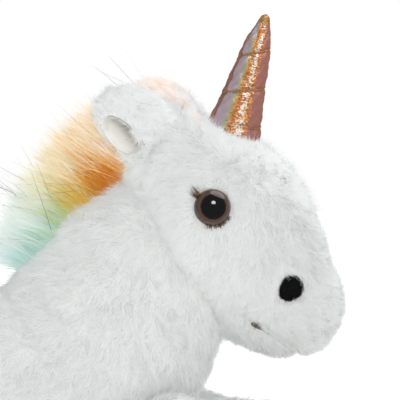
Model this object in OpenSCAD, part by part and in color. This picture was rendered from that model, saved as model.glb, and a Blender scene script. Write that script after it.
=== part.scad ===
// Plush unicorn lying on its belly, head up, facing +X.
// Millimetres. +X forward, +Y the animal's left, +Z up, floor at z = 0.
// Every soft form is a loft: rows along a spine, each a rounded oval section.

/* [Body] */
// Width of the torso at the ribs
torso_width = 104; // [98:1:108]
// Height of the back above the floor
back_height = 93; // [90:1:96]
// Length of the torso from the shoulders to the rump
torso_length = 272; // [268:1:276]
// Width of the neck where it joins the torso
neck_width = 86; // [82:1:90]
// Thickness of the plush cloth with its pile pressed flat
cloth = 3; // [2:0.5:4]
// Clearance between pieces that move on each other
gap = 0.8; // [0.6:0.1:1.2]

/* [Head] */
// Width of the skull at the cheeks
head_width = 84; // [80:1:88]
// Width of the muzzle
muzzle_width = 60; // [56:1:64]
// How far the face slopes down from level, in degrees
head_pitch = 43.6; // [42:0.2:45]
// Diameter of each safety eye
eye_d = 18; // [15:0.5:20]
// Diameter of each nostril patch
nostril_d = 11.5; // [9:0.5:13]

/* [Horn and ears] */
// Height of the horn along its axis
horn_height = 63; // [50:1:66]
// Diameter of the horn at its base
horn_d = 28; // [24:1:30]
// Lean of the horn forward from upright, in degrees
horn_lean = 15.8; // [10:0.2:20]
// Length of each ear
ear_length = 38; // [35:1:40]
// Width of each ear
ear_width = 34; // [31:1:36]

/* [Legs and tail] */
// Thickness of a foreleg at the shin
foreleg_d = 40; // [38:1:42]
// Thickness of a hind leg at the shin
hindleg_d = 37; // [35:1:39]
// Length of a hoof along the leg
hoof_length = 24; // [18:1:28]
// Width of the tail at its fullest
tail_width = 40; // [34:1:44]

/* [Hidden] */
big = 400;                 // larger than the whole object
fit = 0.3;                 // slack between a cover and its stuffing
round_fn = 48;

white = [0.95, 0.95, 0.94];
fibre = [0.98, 0.97, 0.92];
lame = [0.85, 0.55, 0.50];
peach = [0.95, 0.78, 0.70];
orange = [0.91, 0.55, 0.20];
gold = [0.80, 0.66, 0.30];
mint = [0.55, 0.83, 0.76];
brown = [0.32, 0.25, 0.22];
black = [0.08, 0.08, 0.08];

RIGHT = -1;
LEFT = 1;

// ---- Lofts --------------------------------------------------------------
// A row is [x, y, z, pitch, half height, half width]. Its section stands across the spine, and
// pitch leans the top of the section forward. Rows are evenly spaced along the spine.

// Smooth value along a list of rows, at t from 0 to 1
function along(rows, t) =
    let (last = len(rows) - 1,
         i = max(0, min(floor(t * last), last - 1)),
         f = t * last - i,
         a = rows[max(i - 1, 0)],
         b = rows[i],
         c = rows[i + 1],
         d = rows[min(i + 2, last)])
    (2 * b + (c - a) * f + (2 * a - 5 * b + 4 * c - d) * f * f
        + (3 * b - a - 3 * c + d) * f * f * f) / 2;

// Size of a section at e, from -1 to 1 along the spine: full in the middle, closed at the ends
function roundness(e, power) = pow(max(0, 1 - pow(abs(e), power)), 1 / power);

function signed_root(v, power) = sign(v) * pow(abs(v), 2 / power);

// One point of a section at the given angle, no lower than the floor
function section_point(row, size, angle, inset, floor_z, square) =
    let (h = (row[4] - inset) * size * signed_root(sin(angle), square),
         w = (row[5] - inset) * size * signed_root(cos(angle), square))
    [row[0] + h * sin(row[3]), row[1] + w, max(row[2] + h * cos(row[3]), floor_z + inset)];

function spine_half(rows) =
    let (a = rows[0], b = rows[len(rows) - 1])
    norm([b[0] - a[0], b[1] - a[1], b[2] - a[2]]) / 2;

function loft_points(rows, rings, sides, power, inset, floor_z, square) =
    let (shrink = 1 - inset / spine_half(rows))
    [for (i = [0:rings])
        let (e = -cos(180 * i / rings),
             row = along(rows, (1 + e * shrink) / 2),
             size = i == 0 || i == rings ? 0 : roundness(e, power))
        for (j = [0:(i == 0 || i == rings ? 0 : sides - 1)])
            section_point(row, size, 360 * j / sides, inset, floor_z, square)];

// Triangles that join the pole, the rings and the other pole
function loft_faces(rings, sides) =
    let (start = function (i) 1 + (i - 1) * sides,
         end = 1 + (rings - 1) * sides)
    concat(
        [for (j = [0:sides - 1]) [0, 1 + j, 1 + (j + 1) % sides]],
        [for (i = [1:rings - 2], j = [0:sides - 1], half = [0, 1])
            let (k = (j + 1) % sides, a = start(i), b = start(i + 1))
            half == 0 ? [a + j, b + j, a + k] : [a + k, b + j, b + k]],
        [for (j = [0:sides - 1]) [start(rings - 1) + j, end, start(rings - 1) + (j + 1) % sides]]);

module loft(rows, rings, sides, power = 2, inset = 0, floor_z = -big, square = 2.2)
    polyhedron(loft_points(rows, rings, sides, power, inset, floor_z, square),
               loft_faces(rings, sides), convexity = 6);

module at_side(side)
    mirror([0, side == LEFT ? 0 : 1, 0]) children();

// Joins lofts and what is cut from them into one form of unchanged size
module joined() resize([0, 0, 0]) children();

// ---- Neck and torso -----------------------------------------------------
neck_x = 93.5;             // centre of the seam plane between neck and torso
neck_z = 98;
neck_tilt = 31;            // lean of the neck's axis forward from upright

function neck_row(s, forward, half_h, half_w) =
    [neck_x + s * sin(neck_tilt) + forward * cos(neck_tilt), 0,
     neck_z + s * cos(neck_tilt) - forward * sin(neck_tilt), neck_tilt - 90, half_h, half_w];

neck_rows = [
    neck_row(-80, 0, 62, 0.64 * neck_width),
    neck_row(-51.6, -5, 65, 0.64 * neck_width),
    neck_row(-23.2, 0, 54, 0.55 * neck_width),
    neck_row(5.2, 0, 48.5, 0.5 * neck_width),
    neck_row(33.6, -3, 46, 0.5 * neck_width),
    neck_row(62, -8, 40, 0.42 * neck_width)
];

torso_front = 122;
function torso_row(t, top, width) =
    [torso_front - torso_length * (1 - t), 0, (top - 4) / 2, 0, (top + 4) / 2, width / 2];

torso_rows = [
    torso_row(0, back_height + 3, torso_width),
    torso_row(0.2, back_height + 13, 1.12 * torso_width),
    torso_row(0.4, back_height + 1, torso_width),
    torso_row(0.6, back_height + 6, 1.04 * torso_width),
    torso_row(0.8, back_height + 9, 1.06 * torso_width),
    torso_row(1, back_height - 8, 0.9 * torso_width)
];

module neck_loft(inset = 0) loft(neck_rows, 14, 22, 2, inset, 0);

module torso_lofts(inset = 0) {
    loft(torso_rows, 16, 22, 2.6, inset, 0);
    neck_loft(inset);
}

// Half-space on one side of the seam plane across the neck
module beyond_neck_seam(above, clearance)
    translate([neck_x, 0, neck_z]) rotate([0, neck_tilt, 0])
        translate([-big / 2, -big / 2, above ? clearance : -big - clearance]) cube(big);

module torso_cuts() {
    beyond_neck_seam(true, -gap / 2);
    for (side = [RIGHT, LEFT]) {
        at_side(side) leg_pocket(foreleg_rows, foreleg_root, foreleg_ball);
        at_side(side) leg_pocket(hindleg_rows, hindleg_root, hindleg_ball);
    }
    translate(tail_root) sphere(tail_ball + gap, $fn = round_fn);
}

belly_half = 34;           // half width of the belly panel
belly_top = 14;            // its seams run at this height

module belly_slab() translate([-big / 2, -belly_half, -1]) cube([big, 2 * belly_half, belly_top + 1]);

module torso_shell()
    difference() {
        torso_lofts(0);
        torso_lofts(cloth);
        torso_cuts();
    }

module torso_cover(side)
    color(white)
        joined() difference() {
            torso_shell();
            belly_slab();
            translate([-big / 2, side == RIGHT ? 0 : -big, -1]) cube(big);
        }

module belly_cover()
    color(white)
        joined() intersection() {
            torso_shell();
            belly_slab();
        }

module torso_stuffing()
    color(fibre)
        joined() difference() {
            torso_lofts(cloth + fit);
            torso_cuts();
        }

module neck_cuts() {
    beyond_neck_seam(false, -gap / 2);
    translate(nod_pivot) sphere(nod_ball + gap, $fn = 2 * round_fn);
    translate(nod_pivot) rotate([0, -nod_up, 0]) translate(-nod_pivot) head_loft(-gap);
}

module neck_cover(side)
    color(white)
        joined() difference() {
            neck_loft(0);
            neck_loft(cloth);
            neck_cuts();
            translate([-big / 2, side == RIGHT ? 0 : -big, -1]) cube(big);
        }

module neck_stuffing()
    color(fibre)
        joined() difference() {
            neck_loft(cloth + fit);
            neck_cuts();
        }

// ---- Head ---------------------------------------------------------------
head_x = 142;              // centre of the skull
head_z = 131;
nod_pivot = [157, 0, 140]; // the skull rolls in the neck about this point
nod_ball = 67;
nod_up = 10;               // how far the nose can rise, in degrees

// Place in the head's own frame: u down the face, v out of the forehead
function head_at(u, y, v) =
    [head_x + u * cos(head_pitch) + v * sin(head_pitch), y,
     head_z - u * sin(head_pitch) + v * cos(head_pitch)];

function head_row(u, v, half_h, half_w) =
    concat(head_at(u, 0, v), [head_pitch, half_h, half_w]);

head_rows = [
    head_row(-73, 19, 36, 0.40 * head_width),
    head_row(-43.7, 2.2, 35.7, 0.44 * head_width),
    head_row(-14.4, -3, 44.6, 0.5 * head_width),
    head_row(14.9, -1.9, 40.8, 0.44 * head_width),
    head_row(44.2, -6.5, 36.8, 0.52 * muzzle_width),
    head_row(73.5, -6.5, 38, 0.5 * muzzle_width)
];

module head_loft(inset = 0) loft(head_rows, 18, 24, 2, inset);

module in_head_frame() translate([head_x, 0, head_z]) rotate([0, head_pitch, 0]) children();

// Local +Z points out of the cheek at the eye
eye_at = head_at(-13, 0, 2);
eye_seat = 0.47 * head_width;
module at_eye(side)
    at_side(side) translate([eye_at[0], eye_seat, eye_at[2]]) rotate([-86, 0, 0]) rotate([0, 6, 0]) children();

// Local +Z points out of the muzzle at the nostril
nostril_at = head_at(41.7, 0, -0.5);
nostril_seat = 0.40 * muzzle_width;
module at_nostril(side)
    at_side(side) translate([nostril_at[0], nostril_seat, nostril_at[2]])
        rotate([0, head_pitch, 0]) rotate([-88, 0, 0]) rotate([0, 21, 0]) children();

module head_cuts() {
    horn_socket();
    for (side = [RIGHT, LEFT]) {
        at_eye(side) cylinder(h = 20, d = eye_d + 0.4, $fn = round_fn);
        at_eye(side) translate([0, 0, -20]) cylinder(h = 21, d = post_d + 0.4, $fn = round_fn);
        at_nostril(side) cylinder(h = 12, d = nostril_d + 0.4, $fn = round_fn);
    }
}

forehead_half = 17.5;      // half width of the strip over the face
chin_half = 11;            // half width of the strip under the jaw

module forehead_slab() in_head_frame() translate([-big / 2, -forehead_half, 0])
    cube([big, 2 * forehead_half, big / 2]);

module chin_slab() in_head_frame() translate([-big / 2, -chin_half, -big / 2])
    cube([big, 2 * chin_half, big / 2]);

// The head's form with room for each ear as it folds outward
module head_form(inset)
    joined() difference() {
        head_loft(inset);
        for (side = [RIGHT, LEFT])
            at_side(side) in_ear_frame() hull()
                for (flop = [0, ear_flop / 2, ear_flop])
                    rotate([0, 0, -flop]) loft(ear_rows, 12, 16, 2, -gap);
    }

module head_shell()
    difference() {
        head_form(0);
        head_loft(cloth);
        head_cuts();
    }

module head_cover(side)
    color(white)
        difference() {
            head_shell();
            forehead_slab();
            chin_slab();
            translate([-big / 2, side == RIGHT ? 0 : -big, -1]) cube(big);
        }

module forehead_gusset()
    color(white)
        intersection() {
            head_shell();
            forehead_slab();
        }

module chin_gusset()
    color(white)
        intersection() {
            head_shell();
            chin_slab();
        }

washer_d = 15;
washer_depth = 4.4;        // the washer lies this far behind the eye's seat
post_d = 5;

module head_stuffing()
    color(fibre)
        difference() {
            head_form(cloth + fit);
            head_cuts();
            for (side = [RIGHT, LEFT])
                at_eye(side) translate([0, 0, -16]) cylinder(h = 22, d = washer_d + 1, $fn = round_fn);
        }

eye_height = 6.5;          // how far the dome stands proud of its seat

// A dome on a barbed post, pushed through the cloth
module eye(side)
    color(brown)
        at_eye(side) {
            rotate_extrude($fn = round_fn)
                intersection() {
                    translate([0, eye_height - eye_curve()]) circle(eye_curve(), $fn = 96);
                    square([eye_d / 2, eye_height + 1]);
                }
            translate([0, 0, -13]) cylinder(h = 13, d = post_d, $fn = round_fn);
        }

// Radius of the sphere whose cap is the eye's dome
function eye_curve() = (pow(eye_d / 2, 2) + pow(eye_height, 2)) / (2 * eye_height);

module eye_washer(side)
    color(black)
        at_eye(side) translate([0, 0, -washer_depth - 1.5])
            difference() {
                cylinder(h = 1.5, d = washer_d, $fn = round_fn);
                translate([0, 0, -1]) cylinder(h = 4, d = post_d + 0.2, $fn = round_fn);
            }

// A sewn tuft over the rear corner of the eye
module eyelash(side)
    color(brown)
        at_eye(side) rotate([0, 0, 205]) rotate_extrude(angle = 50, $fn = round_fn)
            translate([eye_d / 2 + 0.6, -1]) square([1.6, 4]);

module nostril(side)
    color(black)
        at_nostril(side) cylinder(h = 2.4, d = nostril_d, $fn = round_fn);

mouth_radius = 19;
mouth_thread = 0.8;

// Backstitched line round the front of the muzzle
module mouth_stitching()
    color(brown)
        in_head_frame() translate([43, 0, -22]) rotate([0, 0, -80])
            rotate_extrude(angle = 160, $fn = 2 * round_fn)
                translate([mouth_radius, 0]) circle(mouth_thread, $fn = 24);

// ---- Ears ---------------------------------------------------------------
ear_root = [101.5, 23, 169];
ear_flop = 25;             // how far an ear folds outward
ear_rise = 50;             // slope of the ear's length up and back
ear_splay = 14;            // lean of the ear's face outward

module in_ear_frame()
    translate(ear_root) rotate([0, ear_rise - 180, 0]) rotate([180 + ear_splay, 0, 0]) children();

// Lens-shaped ear: x along its length, y through its thickness, z across its width
ear_rows = [for (t = [0, 0.25, 0.5, 0.75, 1])
    [-2 + ear_length * t, 0, 3 * sin(180 * t), 0, ear_width / 2, 8]];

// The fold opens outward, on the rear and lower half of the ear
hollow_rows = [for (t = [0, 0.5, 1]) [-1 + 0.76 * ear_length * t, -6, -5.5, 0, 7.5, 7.5]];

module ear_hollow(inset) loft(hollow_rows, 10, 16, 2.4, inset);

module ear_back(side)
    color(white)
        at_side(side) {
            in_ear_frame() difference() {
                loft(ear_rows, 12, 16);
                ear_hollow(0);
            }
        }

module ear_lining(side)
    color(white)
        at_side(side) in_ear_frame()
            intersection() {
                loft(ear_rows, 12, 16, 2, 0.4);
                difference() {
                    ear_hollow(0.15);
                    translate([0, -1.2, 0]) ear_hollow(0.9);
                }
            }

// ---- Horn ---------------------------------------------------------------
horn_root = head_at(-30.5, 0, 35);
horn_cloth = 1.2;

module in_horn_frame() translate(horn_root) rotate([0, horn_lean, 0]) children();

// Half outline of the horn, from the foot of its rounded base to its blunt tip
function horn_outline(inset) =
    let (r = horn_d / 2 - inset, h = horn_height - inset)
    concat(
        [for (a = [-90:15:0]) [r * cos(a), r * sin(a)]],
        [[0.86 * r, 0.18 * h], [0.73 * r, 0.36 * h], [0.62 * r, 0.54 * h], [0.47 * r, 0.74 * h],
         [0.30 * r, 0.90 * h], [0.19 * r, 0.97 * h], [0, h]]);

module horn_cover()
    color(lame)
        in_horn_frame() rotate_extrude($fn = round_fn)
            difference() {
                polygon(horn_outline(0));
                polygon(horn_outline(horn_cloth));
            }

module horn_stuffing()
    color(fibre)
        in_horn_frame() rotate_extrude($fn = round_fn) polygon(horn_outline(horn_cloth + 0.15));

// Threads drawn tight round the horn, as [share of the height, share of the base radius]
horn_bands = [[0.16, 0.875], [0.43, 0.69], [0.72, 0.49]];

module horn_threads()
    color(gold)
        in_horn_frame()
            for (band = horn_bands)
                translate([0, 0, band[0] * horn_height]) rotate_extrude($fn = round_fn)
                    translate([band[1] * horn_d / 2, 0]) circle(0.5, $fn = 20);

module horn_socket() translate(horn_root) sphere(horn_d / 2 + gap / 2, $fn = round_fn);

// ---- Mane ---------------------------------------------------------------
mane_half = 13;            // half width of the sewn strip
pile_clear = 0.2;          // the strip lies this far off the cloth

// Row of hair along a straight run, standing out to the upper rear
function hair_run(from, to, lean, half_h, half_w) =
    [for (t = [0, 0.5, 1]) [from[0] + (to[0] - from[0]) * t, 0, from[1] + (to[1] - from[1]) * t,
        lean, half_h, half_w]];

forelock_rows = hair_run([98, 193], [128, 188], 13, 11, mane_half);

module forelock()
    color(peach)
        joined() difference() {
            loft(forelock_rows, 10, 16, 3);
            head_loft(-pile_clear);
            in_horn_frame() cylinder(h = 60, d = horn_d + 2 * gap, center = true, $fn = round_fn);
        }

poll_rows = hair_run([76, 178], [88, 194], -48, 17, mane_half);

module poll_mane()
    color(peach)
        joined() difference() {
            loft(poll_rows, 10, 16, 3);
            head_loft(-pile_clear);
            loft(forelock_rows, 10, 16, 3, -pile_clear);
            translate(nod_pivot) sphere(nod_ball + gap, $fn = 2 * round_fn);
        }

neck_mane_rows = hair_run([42, 130], [61, 149], -45, 20, mane_half);

module neck_mane()
    color(orange)
        joined() difference() {
            loft(neck_mane_rows, 10, 16, 3);
            neck_loft(-pile_clear);
            neck_cuts();
        }

withers_rows = hair_run([-4, 100], [38, 124], -32, 20, mane_half);

module withers_mane()
    color(mint)
        joined() difference() {
            loft(withers_rows, 10, 16, 3);
            torso_lofts(-pile_clear);
            beyond_neck_seam(true, -gap / 2);
        }

// ---- Tail ---------------------------------------------------------------
tail_root = [-140, 0, 74];
tail_ball = 16;
tail_rows = [
    [-136, 0, 76, 170, 15, 15],
    [-160, 0, 69, 140, 13, 0.40 * tail_width],
    [-177, 0, 53, 115, 12, 0.48 * tail_width],
    [-185, 0, 33, 100, 13, 0.5 * tail_width],
    [-187, 0, 6, 90, 14, 0.42 * tail_width]
];

module tail_pile()
    color(mint)
        difference() {
            loft(tail_rows, 14, 16, 2.4, 0, 0);
            loft(tail_rows, 14, 16, 2.4, 6, 0);
        }

module tail_stuffing() color(fibre) loft(tail_rows, 14, 16, 2.4, 6 + fit, 0);

// ---- Legs ---------------------------------------------------------------
foreleg_y = 41;
foreleg_root = [115, foreleg_y, 25];
foreleg_ball = 26.5;
foreleg_rows = [
    [91, foreleg_y, 24, 0, 28, 24],
    [112, foreleg_y, 24, 0, 29, 25],
    [133, foreleg_y, 21.5, 0, 0.59 * foreleg_d, 0.53 * foreleg_d],
    [154, foreleg_y - 1, 19.5, 0, 0.53 * foreleg_d, 0.48 * foreleg_d],
    [175, foreleg_y - 2, 19, 0, 0.55 * foreleg_d, 0.51 * foreleg_d],
    [196, foreleg_y - 3, 19, 0, 0.56 * foreleg_d, 0.52 * foreleg_d]
];

hindleg_root = [-97, 46, 33];
hindleg_ball = 37.5;
hindleg_rows = [
    [-131, 44, 32, 0, 36, 33],
    [-102, 46, 32, 0, 38, 33.5],
    [-73, 51, 29, 0, 31, 27],
    [-44, 61, 20.5, 0, 0.60 * hindleg_d, 0.52 * hindleg_d],
    [-15, 68, 18, 0, 0.58 * hindleg_d, 0.53 * hindleg_d],
    [14, 71, 18, 0, 0.58 * hindleg_d, 0.53 * hindleg_d]
];

module leg_loft(rows, inset = 0) loft(rows, 14, 16, 2.8, inset, 0);

// Room in the torso for a leg's round root and for the leg lying beside it
module leg_pocket(rows, root, ball) {
    translate(root) sphere(ball + gap, $fn = round_fn);
    loft(rows, 14, 16, 2.8, -gap);
}

function hoof_start(rows) = rows[len(rows) - 1][0] - hoof_length;
sole_depth = 3.4;

// Slice of the leg's shell between two stations along the body
module leg_slice(rows, from, to)
    intersection() {
        difference() {
            leg_loft(rows);
            leg_loft(rows, cloth);
        }
        translate([from, -big / 2, -1]) cube([to - from, big, big]);
    }

module leg_cover(rows, side)
    color(white) at_side(side) leg_slice(rows, -big / 2, hoof_start(rows));

module hoof(rows, side)
    color(lame) at_side(side) leg_slice(rows, hoof_start(rows), rows[5][0] - sole_depth);

module sole(rows, side)
    color(lame) at_side(side) leg_slice(rows, rows[5][0] - sole_depth, big / 2);

module leg_stuffing(rows, side)
    color(fibre) at_side(side) leg_loft(rows, cloth + fit);

torso_cover(RIGHT);  // torso_right_cover
torso_cover(LEFT);  // torso_left_cover
belly_cover();
torso_stuffing();
neck_cover(RIGHT);  // neck_right_cover
neck_cover(LEFT);  // neck_left_cover
neck_stuffing();
head_cover(RIGHT);  // head_right_cover
head_cover(LEFT);  // head_left_cover
forehead_gusset();
chin_gusset();
head_stuffing();
eye(RIGHT);  // right_eye
eye(LEFT);  // left_eye
eye_washer(RIGHT);  // right_eye_washer
eye_washer(LEFT);  // left_eye_washer
eyelash(RIGHT);  // right_eyelash
eyelash(LEFT);  // left_eyelash
nostril(RIGHT);  // right_nostril
nostril(LEFT);  // left_nostril
mouth_stitching();
ear_back(RIGHT);  // right_ear_back
ear_lining(RIGHT);  // right_ear_lining
ear_back(LEFT);  // left_ear_back
ear_lining(LEFT);  // left_ear_lining
horn_cover();
horn_stuffing();
horn_threads();
forelock();
poll_mane();
neck_mane();
withers_mane();
tail_pile();
tail_stuffing();
leg_cover(foreleg_rows, RIGHT);  // front_right_leg_cover
leg_stuffing(foreleg_rows, RIGHT);  // front_right_leg_stuffing
hoof(foreleg_rows, RIGHT);  // front_right_hoof
sole(foreleg_rows, RIGHT);  // front_right_sole
leg_cover(foreleg_rows, LEFT);  // front_left_leg_cover
leg_stuffing(foreleg_rows, LEFT);  // front_left_leg_stuffing
hoof(foreleg_rows, LEFT);  // front_left_hoof
sole(foreleg_rows, LEFT);  // front_left_sole
leg_cover(hindleg_rows, RIGHT);  // rear_right_leg_cover
leg_stuffing(hindleg_rows, RIGHT);  // rear_right_leg_stuffing
hoof(hindleg_rows, RIGHT);  // rear_right_hoof
sole(hindleg_rows, RIGHT);  // rear_right_sole
leg_cover(hindleg_rows, LEFT);  // rear_left_leg_cover
leg_stuffing(hindleg_rows, LEFT);  // rear_left_leg_stuffing
hoof(hindleg_rows, LEFT);  // rear_left_hoof
sole(hindleg_rows, LEFT);  // rear_left_sole
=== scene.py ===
import math

import bpy
import numpy as np
from mathutils.bvhtree import BVHTree
from mathutils.kdtree import KDTree
from mathutils import Matrix, Vector


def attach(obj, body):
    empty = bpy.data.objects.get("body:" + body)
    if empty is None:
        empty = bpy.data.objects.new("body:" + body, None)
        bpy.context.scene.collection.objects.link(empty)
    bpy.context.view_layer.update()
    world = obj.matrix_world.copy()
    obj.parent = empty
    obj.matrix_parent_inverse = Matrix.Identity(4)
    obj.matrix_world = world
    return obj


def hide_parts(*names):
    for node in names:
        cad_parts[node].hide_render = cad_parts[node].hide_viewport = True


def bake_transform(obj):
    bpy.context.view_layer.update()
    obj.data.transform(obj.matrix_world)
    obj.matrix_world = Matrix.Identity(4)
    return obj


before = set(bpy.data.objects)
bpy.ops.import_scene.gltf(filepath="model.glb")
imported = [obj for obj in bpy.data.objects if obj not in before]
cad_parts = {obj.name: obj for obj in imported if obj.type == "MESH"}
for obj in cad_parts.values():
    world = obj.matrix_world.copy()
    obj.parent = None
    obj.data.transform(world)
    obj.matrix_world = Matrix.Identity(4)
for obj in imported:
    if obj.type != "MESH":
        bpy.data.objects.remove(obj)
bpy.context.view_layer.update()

MM = 0.001
RIGHT, LEFT = -1, 1
SIDE_NAME = {RIGHT: "right", LEFT: "left"}
PILE_PER_CM2 = {"head": 600, "ear": 600, "body": 320, "leg": 130, "tail": 330, "flock": 3500}
PILE_LENGTH = {"head": 5.6, "ear": 4.4, "body": 6.4, "leg": 6.2, "flock": 1.5}
WHITE_GLOW, HAIR_GLOW = 0.115, 0.17   # painted glow: emission that stands in for light passing through the pile and lifts its shaded blades
rng = np.random.default_rng(7)


# ---- Colours and materials ---------------------------------------------------
def colour(r, g, b):
    """A linear colour from 0-255 display values."""
    c = np.array([r, g, b]) / 255
    return tuple(np.where(c <= 0.04045, c / 12.92, ((c + 0.055) / 1.055) ** 2.4)) + (1.0,)


def grey(level):
    return (level, level, level, 1)


def linear(value):
    """Display triples turned linear, and linear colours as they are."""
    return colour(*value) if len(value) == 3 else value


class Nodes:
    """A material's node tree, built with short calls."""

    def __init__(self, name, base, roughness=0.8, specular=0.3, **sockets):
        self.mat = bpy.data.materials.new(name)
        self.mat.use_nodes = True
        self.tree = self.mat.node_tree
        self.shader = self.tree.nodes["Principled BSDF"]
        self.set(self.shader, {"Base Color": base, "Roughness": roughness, "Specular IOR Level": specular,
                               **sockets})

    def set(self, node, values):
        for key, value in values.items():
            if isinstance(value, bpy.types.NodeSocket):
                self.tree.links.new(value, node.inputs[key])
            else:
                node.inputs[key].default_value = value
        return node

    def add(self, kind, values=None, **attributes):
        node = self.tree.nodes.new("ShaderNode" + kind)
        for key, value in attributes.items():
            setattr(node, key, value)
        return self.set(node, values or {})

    def place(self, scale=(1, 1, 1)):
        """Object coordinates, which are the row frame in metres."""
        coordinates = self.add("TexCoord").outputs["Object"]
        return self.add("Mapping", {"Vector": coordinates, "Scale": scale}).outputs["Vector"]

    def noise(self, scale, detail=2.0, vector=None, distortion=0.0, roughness=0.5):
        return self.add("TexNoise", {"Vector": vector or self.place(), "Scale": scale, "Detail": detail,
                                     "Distortion": distortion, "Roughness": roughness}).outputs["Fac"]

    def ramp(self, factor, stops, interpolation="LINEAR"):
        node = self.add("ValToRGB", {"Fac": factor})
        node.color_ramp.interpolation = interpolation
        elements = node.color_ramp.elements
        while len(elements) < len(stops):
            elements.new(0.5)
        for element, (at, value) in zip(elements, stops):
            element.position, element.color = at, linear(value)
        return node.outputs["Color"]

    def paint(self, factor, stops):
        self.set(self.shader, {"Base Color": self.ramp(factor, stops)})

    def maths(self, operation, a, b=0.0, clamp=False):
        return self.add("Math", {0: a, 1: b}, operation=operation, use_clamp=clamp).outputs[0]

    def mix(self, factor, a, b):
        node = self.add("Mix", data_type="RGBA")
        for socket, value in (("Factor_Float", factor), ("A_Color", a), ("B_Color", b)):
            target = next(s for s in node.inputs if s.identifier == socket)
            if isinstance(value, bpy.types.NodeSocket):
                self.tree.links.new(value, target)
            else:
                target.default_value = value
        return next(s for s in node.outputs if s.identifier == "Result_Color")

    def bump(self, height, strength, distance):
        node = self.add("Bump", {"Height": height, "Strength": strength, "Distance": distance})
        self.set(self.shader, {"Normal": node.outputs["Normal"]})


def cloth_material(name, low, high, grain=900, strength=0.5, roughness=0.9, **sockets):
    """Backing cloth under the pile: soft patches of tone and a fine grain."""
    m = Nodes(name, linear(high), roughness, 0.2, **sockets)
    patches = m.noise(60, 3)
    m.paint(patches, [(0.3, low), (0.7, high)])
    m.bump(m.noise(grain, 4), strength, 0.0004)
    return m.mat


plush_base = cloth_material("plush_backing", (226, 226, 224), (240, 240, 238))
satin_base = cloth_material("ear_satin", (232, 230, 224), (244, 243, 239), 2400, 0.15, 0.6)


def pile_materials(name, colours, roughness=0.95, specular=0.15, **sockets):
    return [Nodes(f"{name}_{i}", colour(*c), roughness, specular, **sockets).mat for i, c in enumerate(colours)]


def paint_glow_into(materials, strength):
    """Painted glow: emission in each material's own colour, standing in for light that passes through the pile and
    lifting its shaded blades.
    """
    for mat in materials:
        sockets = mat.node_tree.nodes["Principled BSDF"].inputs
        sockets["Emission Color"].default_value = sockets["Base Color"].default_value
        sockets["Emission Strength"].default_value = strength
    return materials


white_pile = paint_glow_into(pile_materials("white_pile", [
    (244, 247, 247), (241, 244, 244), (237, 240, 240), (245, 245, 243)]), WHITE_GLOW)


# ---- Meshes --------------------------------------------------------------------
def mesh_object(name, verts, faces, materials, smooth=True):
    """faces is one array of quads or triangles, or a list of such arrays."""
    mesh = bpy.data.meshes.new(name)
    blocks = faces if isinstance(faces, list) else [faces]
    mesh.vertices.add(len(verts))
    mesh.vertices.foreach_set("co", np.asarray(verts, np.float32).ravel())
    corners = np.concatenate([b.ravel() for b in blocks]).astype(np.int32)
    sizes = np.concatenate([np.full(len(b), b.shape[1]) for b in blocks]).astype(np.int32)
    mesh.loops.add(len(corners))
    mesh.loops.foreach_set("vertex_index", corners)
    mesh.polygons.add(len(sizes))
    mesh.polygons.foreach_set("loop_start", np.concatenate([[0], np.cumsum(sizes)[:-1]]).astype(np.int32))
    mesh.polygons.foreach_set("use_smooth", np.full(len(sizes), smooth))
    mesh.update(calc_edges=True)
    for material in materials:
        mesh.materials.append(material)
    obj = bpy.data.objects.new(name, mesh)
    bpy.context.scene.collection.objects.link(obj)
    return obj


def grid_quads(rows, sides):
    """Quads between closed rings of sides points each."""
    i, j = np.meshgrid(np.arange(rows - 1) * sides, np.arange(sides), indexing="ij")
    k = (j + 1) % sides
    return np.stack([i + j, i + k, i + sides + k, i + sides + j], -1).reshape(-1, 4)


def capped_grid(rows, sides):
    """Those quads, and a flat face on the first ring and on the last."""
    ring = np.arange(sides)
    return [grid_quads(rows, sides), np.stack([ring[::-1], ring + (rows - 1) * sides])]


def along(rows, t):
    """Smooth rows at the values t, from 0 to 1 along the list."""
    rows = np.asarray(rows, float)
    last = len(rows) - 1
    i = np.clip(np.floor(t * last).astype(int), 0, last - 1)
    f = (t * last - i)[:, None]
    a, b, c, d = rows[np.maximum(i - 1, 0)], rows[i], rows[i + 1], rows[np.minimum(i + 2, last)]
    return (2 * b + (c - a) * f + (2 * a - 5 * b + 4 * c - d) * f**2 + (3 * b - a - 3 * c + d) * f**3) / 2


def loft(rows, rings, sides, power=2.0, floor=None, square=2.2, inset=0.0):
    """Vertices in metres and faces of a closed rounded form.

    A row is x, y, z, pitch, half height, half width, in millimetres and degrees."""
    rows = np.asarray(rows, float)
    half = np.linalg.norm(rows[-1, :3] - rows[0, :3]) / 2
    e = -np.cos(math.pi * np.arange(1, rings) / rings)
    row = along(rows, (1 + e * (1 - inset / half)) / 2)
    size = (1 - np.abs(e) ** power) ** (1 / power)
    angle = 2 * math.pi * np.arange(sides) / sides
    up = np.sign(np.sin(angle)) * np.abs(np.sin(angle)) ** (2 / square)
    out = np.sign(np.cos(angle)) * np.abs(np.cos(angle)) ** (2 / square)
    h = ((row[:, 4] - inset) * size)[:, None] * up
    w = ((row[:, 5] - inset) * size)[:, None] * out
    pitch = np.radians(row[:, 3])[:, None]
    ring = np.stack([row[:, :1] + h * np.sin(pitch), row[:, 1:2] + w, row[:, 2:3] + h * np.cos(pitch)], -1)
    ends = along(rows, (1 + np.array([-1.0, 1.0]) * (1 - inset / half)) / 2)[:, :3]
    verts = np.concatenate([ends[:1], ring.reshape(-1, 3), ends[1:]])
    if floor is not None:
        verts[:, 2] = np.maximum(verts[:, 2], floor)
    j = np.arange(sides)
    k = (j + 1) % sides
    end = len(verts) - 1
    caps = np.concatenate([np.stack([0 * j, 1 + k, 1 + j], -1),
                           np.stack([end - sides + j, end - sides + k, 0 * j + end], -1)])
    return verts * MM, [1 + grid_quads(rings - 1, sides), caps]


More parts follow.
